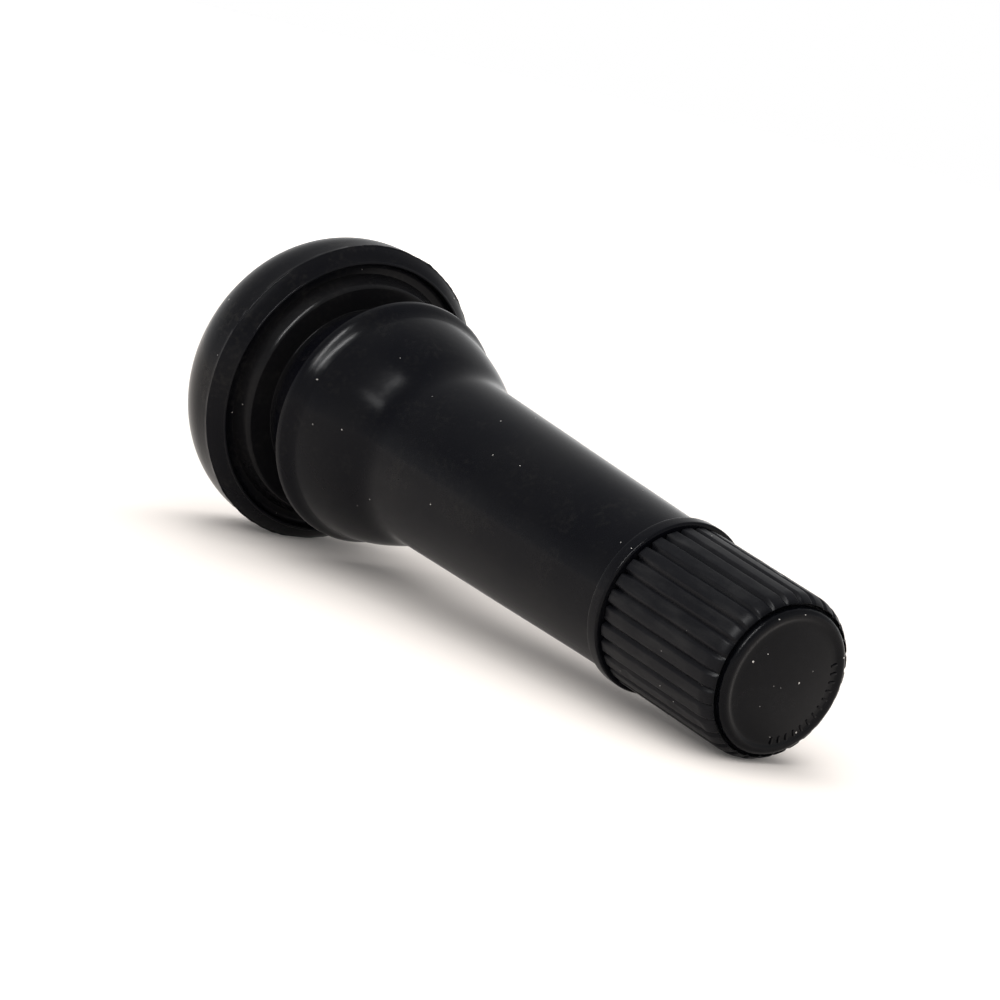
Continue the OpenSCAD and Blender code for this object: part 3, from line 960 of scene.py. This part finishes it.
    def shape(self, turn: float, radius: float, height: float) -> Point:
        """Adds the torn moulding flash at the parting edge and the moulding's slight unevenness.

        Args:
            turn: Angle of the point, in radians.
            radius: Its radius.
            height: Its height.

        Returns:
            Its radius and height.
        """
        around = Vector((math.cos(turn), math.sin(turn), 0))
        share = (radius - self.head_r) / self.fin_mark
        if share > 0.1:
            coarse = noise.noise(around * 7 + Vector((0, 0, 3.1)))
            fine = noise.noise(around * 24 + Vector((0, 0, 7.7)))
            lift = self.fin_h * (1 + fine)
            for middle, spread, tall in self.fin_zones:
                away = abs((math.degrees(turn) - middle + 180) % 360 - 180)
                zone = max(0.0, 1 - (away / spread) ** 4)
                lift += zone * tall * max(0.15, 0.85 + coarse * 0.7 + fine * 0.45)
            return self.head_r + lift * share, height + 0.05 * (coarse + fine * 0.5) * share
        if height < 0.05 or radius < 4.2:
            return radius, height
        uneven = noise.noise(around * 1.7 + Vector((0, 0, height * 0.16)))
        return radius + 0.018 * uneven, height

    def build(self) -> bpy.types.Object:
        """Builds the closed moulding, with the space that the brass stem fills."""
        stem = BrassStem()
        outline = self.outside() + list(reversed(stem.bonded(self.rubber_h)))
        outline.append((self.hole_r, stem.foot_cover))
        turns = [FULL_TURN * i / self.segments for i in range(self.segments)]
        return tidied(revolved("rubber_body_moulded", outline, turns, shape=self.shape))

    def dress(self, piece: bpy.types.Object, finish: bpy.types.Material) -> bpy.types.Object:
        """Gives the moulding its finish and lets it stand for its solid."""
        return finished(piece, finish, Body.VALVE, Slot.RUBBER, "rubber_body")


@dataclass
class BrassStem:
    """The turned brass tube with its cap thread. Sizes in millimetres."""

    tip_h: float = 48.5
    rubber_h: float = 40.4
    thread_r: float = 3.875
    thread_pitch: float = 0.794
    thread_d: float = 0.42
    sunk_len: float = 2.6
    shank_r: float = 3.3
    key_d: float = 0.3
    key_w: float = 0.9
    key_pitch: float = 2.4
    key_count: int = 5
    key_h: float = 12.0
    foot_r: float = 4.6
    foot_t: float = 1.3
    foot_cover: float = 0.9
    air_r: float = 1.5
    chamber_r: float = 1.85
    chamber_depth: float = 21.0
    core_r: float = 2.6
    seat_r: float = 2.4
    seat_len: float = 2.5
    seat_drop: float = 6.4
    tip_chamfer: float = 0.45
    mouth_chamfer: float = 0.25
    segments: int = 128

    def bonded(self, top: float) -> list[Point]:
        """Outline of the tube where the rubber holds it, from the foot up.

        Args:
            top: Height of the rubber's end.

        Returns:
            The points.
        """
        thread_h = self.rubber_h - self.sunk_len
        foot_h = self.foot_cover + self.foot_t
        points = [(self.foot_r, self.foot_cover), (self.foot_r, foot_h),
                  (self.shank_r, foot_h + self.foot_r - self.shank_r)]
        for i in range(self.key_count):
            h = self.key_h + i * self.key_pitch
            key_r, key_top = self.shank_r - self.key_d, h + self.key_w
            points += [(self.shank_r, h), (key_r, h + self.key_d), (key_r, key_top - self.key_d),
                       (self.shank_r, key_top)]
        points += [(self.shank_r, thread_h - self.thread_r + self.shank_r), (self.thread_r, thread_h)]
        return points + [(self.thread_r, top)]

    def build(self, thread: Growth, finish: bpy.types.Material) -> bpy.types.Object:
        """Builds the tube and cuts its thread.

        Args:
            thread: The tree that cuts it.
            finish: The tube's material.

        Returns:
            The piece.
        """
        seat_top = self.tip_h - self.seat_drop
        seat_low = seat_top - self.seat_len
        chamber_h = self.tip_h - self.chamber_depth
        start = (self.thread_r, self.rubber_h - self.sunk_len)
        top = (self.thread_r, self.tip_h - self.tip_chamfer)
        rows = round((top[1] - start[1]) / self.thread_pitch * 20)
        outline = self.bonded(self.rubber_h)[:-1] + run(start, top, rows) + [top]
        tip = (self.thread_r - self.tip_chamfer, self.tip_h)
        outline += run(top, tip, 6) + [tip]
        outline += [(self.core_r + self.mouth_chamfer, self.tip_h),
                    (self.core_r, self.tip_h - self.mouth_chamfer), (self.core_r, seat_top),
                    (self.seat_r, seat_top), (self.chamber_r, seat_low), (self.chamber_r, chamber_h),
                    (self.air_r, chamber_h - self.chamber_r + self.air_r), (self.air_r, self.foot_cover)]
        turns = [FULL_TURN * i / self.segments for i in range(self.segments)]
        piece = revolved("brass_stem_turned", outline, turns)
        thread.grow(piece, finish, Pitch=self.thread_pitch, Depth=self.thread_d, Low=start[1] + 0.2,
                    High=self.tip_h - 0.05, Fade=0.35, Radius=self.thread_r, Reach=0.44, Flat=0.16)
        return tidied(piece, 24)

    def dress(self, piece: bpy.types.Object, finish: bpy.types.Material) -> bpy.types.Object:
        """Gives the tube its finish and lets it stand for its solid."""
        return finished(piece, finish, Body.VALVE, Slot.BRASS, "brass_stem")


@dataclass
class DustCap:
    """The ribbed screw-on cap. Sizes in millimetres."""

    low: float = 40.55
    top: float = 50.7
    mouth_r: float = 5.0
    end_r: float = 4.93
    rib_count: int = 30
    groove_d: float = 0.18
    groove_w: float = 0.38
    rib_round: float = 0.020
    mouth_flare: float = 1.3
    cap_round: float = 1.5
    shoulder_r: float = 4.56
    ring_w: float = 0.26
    ring_d: float = 0.38
    disc_h: float = 0.41
    disc_round: float = 0.34
    rim_w: float = 0.65
    dish: float = 0.1
    crown: float = 0.26
    bore_r: float = 3.925
    entry_r: float = 4.15
    entry_d: float = 0.7
    roof_h: float = 49.32
    thread_top: float = 48.3
    edge: float = 0.06
    half_angles: tuple[float, ...] = (0.0, 0.5, 1.3, 2.0, 2.35, 2.6, 2.85, 3.4, 4.6, 6.0)

    def outline(self) -> list[Point]:
        """Section of the cap, from the centre of the roof's inside out round to the disc's centre.

        Returns:
            The points, as radius and height.
        """
        round_x = self.end_r - self.cap_round
        round_turn = math.degrees(math.acos((self.shoulder_r - round_x) / self.cap_round))
        shoulder_h = self.top - self.disc_h
        round_h = shoulder_h - self.cap_round * math.sin(math.radians(round_turn))
        disc_r = self.shoulder_r - self.ring_w
        lead = (self.bore_r, self.low + self.entry_d + self.entry_r - self.bore_r)
        points = [(0.0, self.roof_h), (1.3, self.roof_h), (2.6, self.roof_h), (self.bore_r, self.roof_h)]
        points += run((self.bore_r, self.roof_h), lead, 92) + [lead]
        points += [(self.entry_r, self.low + self.entry_d), (self.entry_r, self.low + 0.06),
                   (self.entry_r + 0.06, self.low)]
        points += run(points[-1], (self.mouth_r - self.edge, self.low), 4)
        points += arc(self.mouth_r - self.edge, self.low + self.edge, self.edge, -90, 0, 5)
        points += run((self.mouth_r, self.low + self.edge), (self.end_r, round_h), 22)
        points += arc(round_x, round_h, self.cap_round, 0, round_turn, 14)
        floor = shoulder_h - self.ring_d
        points += [(self.shoulder_r - 0.035, shoulder_h - 0.01), (disc_r + self.ring_w * 0.66, floor + 0.05),
                   (disc_r + self.ring_w * 0.4, floor), (disc_r + 0.03, floor + 0.03), (disc_r, floor + 0.12)]
        points += arc(disc_r - self.disc_round, self.top - self.disc_round, self.disc_round, 0, 90, 12)
        face = disc_r - self.rim_w
        points += [(face + 0.22, self.top - 0.006), (face + 0.12, self.top - 0.03),
                   (face + 0.02, self.top - self.dish + 0.012), (face - 0.12, self.top - self.dish)]
        points += [((face - 0.12) * i / 10, self.top - self.dish + self.crown * (1 - (i / 10) ** 2))
                   for i in range(9, -1, -1)]
        return points

    def rib(self, turn: float, radius: float, height: float) -> Point:
        """Cuts the groove between two ribs into one sector.

        Args:
            turn: Angle from the groove's middle, in radians.
            radius: Radius of the plain cap.
            height: Height of the point.

        Returns:
            Its radius and height.
        """
        if radius < self.shoulder_r - 0.04 or height > self.top - self.disc_h + 0.01:
            return radius, height
        aside = math.sqrt((turn * self.mouth_r) ** 2 + 0.02 ** 2)
        gap = (1 - 2 * aside / self.groove_w) * self.groove_d / self.rib_round
        depth = self.rib_round * (gap if gap > 12 else math.log1p(math.exp(gap)))
        low = self.top - self.disc_h - self.cap_round * 0.66
        lean = max(0.0, min(1.0, (height - low) / (self.cap_round * 0.66)))
        depth *= 1 - 0.5 * lean ** 3 + self.mouth_flare * max(0.0, 1 - (height - self.low) / 0.9)
        slope = math.radians(41) * lean
        return radius - depth * math.cos(slope), height - depth * math.sin(slope)

    def build(self, ring: Growth, thread: Growth, finish: bpy.types.Material) -> bpy.types.Object:
        """Builds one rib's sector, repeats it, cuts the thread and wears the ribs.

        Args:
            ring: The tree that repeats the sector.
            thread: The tree that raises the thread in the bore.
            finish: The cap's material.

        Returns:
            The piece.
        """
        angles = sorted({-a for a in self.half_angles} | set(self.half_angles))
        turns = [math.radians(a) for a in angles]
        sector = revolved("dust_cap_ribbed", self.outline(), turns, False, self.rib)
        LOG.info("one rib's sector has %d faces", len(sector.data.polygons))
        ring.grow(sector, finish, Count=self.rib_count, Merge=1e-6)
        thread.grow(sector, finish, Pitch=0.794, Depth=0.24, Low=self.low + self.entry_d + 0.3,
                    High=self.thread_top, Fade=0.5, Radius=self.bore_r, Reach=0.02, Flat=0.3)
        self.wear(sector)
        return tidied(sector, 38)

    def wear(self, piece: bpy.types.Object) -> None:
        """Nicks and rounds the ribs unevenly.

        Args:
            piece: The whole cap.
        """
        for v in piece.data.vertices:
            radius = v.co.xy.length / MM
            if radius < self.shoulder_r:
                continue
            crest = min(1.0, max(0.0, (radius - 4.75) / 0.2))
            spot = noise.noise(v.co / MM * 0.8 + Vector((5, 1, 2)))
            nick = max(0.0, spot - 0.42) * 0.28
            drop = (0.012 * noise.noise(v.co / MM * 2.3) + nick) * crest
            v.co.xy *= (radius - drop) / radius

    def marks(self, arc_tree: Growth, finish: bpy.types.Material) -> bpy.types.Object:
        """Builds the plain raised ticks near the rim of the end disc, in place of lettering.

        Args:
            arc_tree: The tree that repeats a tick.
            finish: The ticks' material.

        Returns:
            The piece.
        """
        work = bmesh.new()
        bmesh.ops.create_cube(work, size=1.0)
        bmesh.ops.scale(work, vec=Vector((0.42, 0.13, 0.16)) * MM, verts=work.verts)
        bmesh.ops.bevel(work, geom=work.edges[:], offset=0.035 * MM, segments=2, affect="EDGES", profile=0.6)
        bmesh.ops.translate(work, vec=Vector((3.42, 0, self.top - self.dish + 0.005)) * MM, verts=work.verts)
        mesh = bpy.data.meshes.new("cap_ticks")
        work.to_mesh(mesh)
        work.free()
        piece = placed("cap_ticks", mesh)
        arc_tree.grow(piece, finish, Count=13, First=math.radians(98), Sweep=math.radians(104))
        return tidied(piece, 50)

    def dress(self, cap: bpy.types.Object, ticks: bpy.types.Object, finish: bpy.types.Material) -> None:
        """Gives the cap its finish and lets it stand for its solid."""
        finished(cap, finish, Body.CAP, Slot.PLASTIC, "dust_cap")
        finished(ticks, finish, Body.CAP, Slot.PLASTIC)


@dataclass
class CoreSpring:
    """The coil spring round the core's pin. Sizes in millimetres."""

    low: float = 32.3
    length: float = 8.9
    wire_r: float = 0.13
    coil_r: float = 0.8
    turns: float = 10.0
    stroke: float = 1.3

    def build(self, coil: Growth, finish: bpy.types.Material) -> bpy.types.Object:
        """Builds the spring along its coiled path.

        Args:
            coil: The tree that coils the wire.
            finish: The wire's material.

        Returns:
            The piece.
        """
        piece = placed("core_spring_coiled", bpy.data.meshes.new("core_spring_coiled"))
        coil.grow(piece, finish, Coil=self.coil_r, Wire=self.wire_r, Low=self.low,
                  High=self.low + self.length, Turns=self.turns, Steps=420, Sides=12)
        return tidied(piece, 40)

    def dress(self, piece: bpy.types.Object, finish: bpy.types.Material) -> bpy.types.Object:
        """Gives the spring its finish and its own mesh, and lets it stand for its solid."""
        finished(piece, finish, Body.VALVE, Slot.STEEL, "core_spring")
        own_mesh(piece)
        return piece


@dataclass
class ValveCore:
    """The core's turned and moulded pieces, which keep their solids' shapes."""

    brass: tuple[str, ...] = ("core_plug", "core_barrel", "core_pin", "core_cup")
    gasket: tuple[str, ...] = ("barrel_gasket",)
    seals: tuple[str, ...] = ("cup_seal", "cap_seal")

    def dress(self, finishes: dict[Slot, bpy.types.Material]) -> None:
        """Assigns the finishes to the solids' own slots.

        Args:
            finishes: The material of each slot.
        """
        for names, slot in ((self.brass, Slot.BRASS), (self.gasket, Slot.GASKET), (self.seals, Slot.SEAL)):
            for name in names:
                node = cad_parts[name]
                if not node.material_slots:
                    node.data.materials.append(finishes[slot])
                for place in node.material_slots:
                    place.material = finishes[slot]
                LOG.info("%s keeps its solid and takes %s", name, finishes[slot].name)


@dataclass
class Dust:
    """The crumbs of dust on the rubber and the cap."""

    tree: Growth

    def settle(self, host: bpy.types.Object, name: str, body: Body, slot: Slot,
               finish: bpy.types.Material, **inputs: float | int) -> bpy.types.Object:
        """Scatters dust over a piece.

        Args:
            host: The piece that carries the dust.
            name: Name of the dust's own piece.
            body: The body that both ride on.
            slot: The record's slot that the finish stands in.
            finish: The dust's material.
            inputs: Values of the tree's inputs.

        Returns:
            The dust as one piece.
        """
        piece = placed(name, host.data.copy())
        self.tree.grow(piece, finish, **inputs)
        return finished(piece, finish, body, slot)


@dataclass
class Studio:
    """The white sheet, the lights and the camera. Lengths in millimetres, directions in the frame."""

    lens: float = 126.0
    sensor: float = 36.0
    camera_at: Triple = (131.526, -47.728, 178.676)
    camera_x: Triple = (-0.7716, -0.3019, 0.5600)
    camera_z: Triple = (0.6289, -0.2289, 0.7430)
    sheet_turn: float = 6.355
    sheet_away: float = 10.365
    sheet_size: float = 900.0
    sheet_colour: Triple = (0.93, 0.87, 0.82)
    sheet_glow: float = 0.04
    far_glow: float = 0.35
    far_start: float = 75.0
    far_end: float = 190.0
    ceiling: float = 0.50
    zones: tuple[tuple[str, Point, Point, float], ...] = (
        ("behind", (10.0, 20.0), (0.72, 0.99), 0.18),
        ("right", (24.0, 118.0), (0.80, 0.98), 0.35),
    )
    lamps: tuple[tuple[str, Triple, Point, bool], ...] = (
        ("window", (44.0, -142.5, 44.0), (4.6, 38.0), False),
        ("ceiling_lamp", (32.0, -130.0, 9.0), (6.0, 6.0), False),
        ("overhead_softbox", (66.0, 8.0, 1.56), (50.0, 50.0), True),
        ("fill_softbox", (60.0, -140.0, 1.18), (62.0, 62.0), True),
    )
    lamp_away: float = 1500.0
    lamps_meet: float = 20.0
    horizon_band: float = 0.42

    def axes(self) -> Matrix:
        """The camera's axes as columns, made square."""
        x, z = Vector(self.camera_x).normalized(), Vector(self.camera_z).normalized()
        y = z.cross(x).normalized()
        x = y.cross(z)
        return Matrix((x, y, z)).transposed()

    def up(self) -> Vector:
        """The direction away from the sheet, on the object's side."""
        turn = math.radians(self.sheet_turn)
        return Vector((0, -math.cos(turn), -math.sin(turn)))

    def aim(self, over: float, aside: float) -> Vector:
        """A direction from the valve into the room.

        Args:
            over: Angle over the sheet in degrees.
            aside: Angle from straight behind the valve, positive to the right.

        Returns:
            The direction.
        """
        up = self.up()
        back = -self.axes().col[2]
        back = (back - up * back.dot(up)).normalized()
        level = back * math.cos(math.radians(aside)) + back.cross(up) * math.sin(math.radians(aside))
        return level * math.cos(math.radians(over)) + up * math.sin(math.radians(over))

    def camera(self) -> None:
        """Sets up the camera at the photograph's angle."""
        data = bpy.data.cameras.new("camera")
        data.lens, data.sensor_width = self.lens, self.sensor
        data.clip_start, data.clip_end = 0.01, 10
        camera = placed("camera", data)
        camera.matrix_world = Matrix.Translation(Vector(self.camera_at) * MM) @ self.axes().to_4x4()
        bpy.context.scene.camera = camera

    def lamp(self, name: str, place: Triple, spread: Point, soft: bool) -> None:
        """Adds a soft lamp that faces the valve.

        Args:
            name: Its name.
            place: Its angle over the sheet, its angle to the right of straight behind, and its brightness.
            spread: Its width and height as angles in degrees.
            soft: Whether it gives the soft light; the others only show in the gloss.
        """
        toward = self.aim(place[0], place[1])
        width, height = (2 * self.lamp_away * MM * math.tan(math.radians(angle / 2)) for angle in spread)
        data = bpy.data.lights.new(name, "AREA")
        data.shape, data.size, data.size_y = "RECTANGLE", width, height
        data.energy = 4 * width * height * place[2]
        lamp = placed(name, data)
        lamp.visible_diffuse, lamp.visible_glossy = soft, not soft
        side = self.up().cross(toward).normalized()
        turn = Matrix((side, toward.cross(side), toward)).transposed().to_4x4()
        middle = Vector((0, 0, self.lamps_meet * MM))
        lamp.matrix_world = Matrix.Translation(middle + toward * self.lamp_away * MM) @ turn

    def sheet(self) -> None:
        """Lays the white sheet under the lying valve; it is seen from the valve's side only."""
        up = self.up()
        side = Vector((1, 0, 0))
        ahead = up.cross(side)
        centre = -up * self.sheet_away * MM
        half = self.sheet_size * MM
        signs = ((-1, -1), (1, -1), (1, 1), (-1, 1))
        corners = [centre + side * a * half + ahead * b * half for a, b in signs]
        mesh = bpy.data.meshes.new("white_sheet")
        mesh.from_pydata(corners, [], [(0, 1, 2, 3)])
        if mesh.polygons[0].normal.dot(up) < 0:
            mesh.flip_normals()
        sheet = placed("white_sheet", mesh)
        material = bpy.data.materials.new("white_sheet")
        material.use_nodes = True
        t = Tree(material.node_tree)
        t.nodes.nodes.clear()
        rays = t.add("ShaderNodeLightPath").outputs
        shown = t.least(Value(t, rays["Is Camera Ray"]) + Value(t, rays["Is Glossy Ray"])
                        + Value(t, rays["Is Transmission Ray"]), 1.0)
        paper = t.add("ShaderNodeBsdfDiffuse", {}, {"Color": (*self.sheet_colour, 1)}).outputs[0]
        place = t.add("ShaderNodeTexCoord").outputs["Object"]
        away = Value(t, t.add("ShaderNodeVectorMath", {"operation": "LENGTH"}, {0: place}).outputs["Value"])
        strength = t.ramp(away / MM, self.far_start, self.far_end, self.sheet_glow, self.far_glow) * shown
        glow = t.add("ShaderNodeEmission", {}, {"Color": (1, 1, 1, 1), "Strength": strength}).outputs[0]
        front = t.add("ShaderNodeAddShader", {}, {0: paper, 1: glow}).outputs[0]
        back = t.add("ShaderNodeBsdfTransparent").outputs[0]
        behind = t.add("ShaderNodeNewGeometry").outputs["Backfacing"]
        both = t.add("ShaderNodeMixShader", {}, {0: behind, 1: front, 2: back}).outputs[0]
        t.add("ShaderNodeOutputMaterial", {}, {"Surface": both})
        mesh.materials.append(material)

    def world(self) -> None:
        """Makes the room: brighter in its zones, white for the camera and low down."""
        world = bpy.data.worlds.new("studio")
        bpy.context.scene.world = world
        world.use_nodes = True
        t = Tree(world.node_tree)
        t.nodes.nodes.clear()
        rays = t.add("ShaderNodeLightPath").outputs
        seen = t.least(Value(t, rays["Is Camera Ray"]) + Value(t, rays["Is Transmission Ray"]), 1.0)
        direction = t.add("ShaderNodeTexCoord").outputs["Generated"]

        def toward(axis: Vector) -> Value:
            """How far the ray points along an axis."""
            node = t.add("ShaderNodeVectorMath", {"operation": "DOT_PRODUCT"}, {0: direction, 1: tuple(axis)})
            return Value(t, node.outputs["Value"])
        low = t.ramp(toward(self.up()), self.horizon_band, 0.0) * (1 - self.ceiling)
        level = self.ceiling + low
        for _, place, (start, end), strength in self.zones:
            level = level + t.ramp(toward(self.aim(*place)), start, end) * strength
        level = seen + (1 - seen) * level
        glow = t.add("ShaderNodeBackground", {}, {"Color": (1, 1, 1, 1), "Strength": level}).outputs[0]
        t.add("ShaderNodeOutputWorld", {}, {"Surface": glow})

    def build(self) -> None:
        """Builds the sheet, the room, the lamps and the camera."""
        self.camera()
        self.sheet()
        self.world()
        for lamp in self.lamps:
            self.lamp(*lamp)
        bpy.context.scene.view_settings.view_transform = "Standard"
        LOG.info("studio built, camera at %s mm", self.camera_at)


def main() -> None:
    """Builds the valve's pieces in order, dresses them and sets up the studio."""
    logging.basicConfig(level=logging.INFO, format="%(name)s: %(message)s")
    finishes = {
        Slot.RUBBER: MouldedRubber().material(),
        Slot.PLASTIC: MouldedPlastic().material(),
        Slot.BRASS: TurnedBrass().material(),
        Slot.GASKET: SealRubber("gasket_rubber", (0.30, 0.030, 0.022), (0.17, 0.020, 0.016)).material(),
        Slot.SEAL: SealRubber("soft_seal", (0.018, 0.018, 0.019), (0.035, 0.034, 0.033)).material(),
        Slot.STEEL: SpringWire().material(),
    }
    lint = Lint().material()
    thread = screw_thread()

    rubber = RubberBody()
    body = rubber.dress(rubber.build(), finishes[Slot.RUBBER])
    stem = BrassStem()
    stem.dress(stem.build(thread, finishes[Slot.BRASS]), finishes[Slot.BRASS])
    cap = DustCap()
    shell = cap.build(ring_repeat(), thread, finishes[Slot.PLASTIC])
    cap.dress(shell, cap.marks(tick_arc(), finishes[Slot.PLASTIC]), finishes[Slot.PLASTIC])
    spring = CoreSpring()
    spring.dress(spring.build(coiled_wire(), finishes[Slot.STEEL]), finishes[Slot.STEEL])
    ValveCore().dress(finishes)
    dust = Dust(clinging_dust())
    dust.settle(body, "dust_on_rubber", Body.VALVE, Slot.RUBBER, lint, Density=0.03, Seed=11)
    dust.settle(shell, "dust_on_cap", Body.CAP, Slot.PLASTIC, lint, Density=0.07, Seed=5, Low=41.2, High=50.2)
    dust.settle(shell, "dust_on_disc", Body.CAP, Slot.PLASTIC, lint, Density=0.24, Seed=8, Low=50.58)
    Studio().build()


if __name__ == "__main__":
    main()
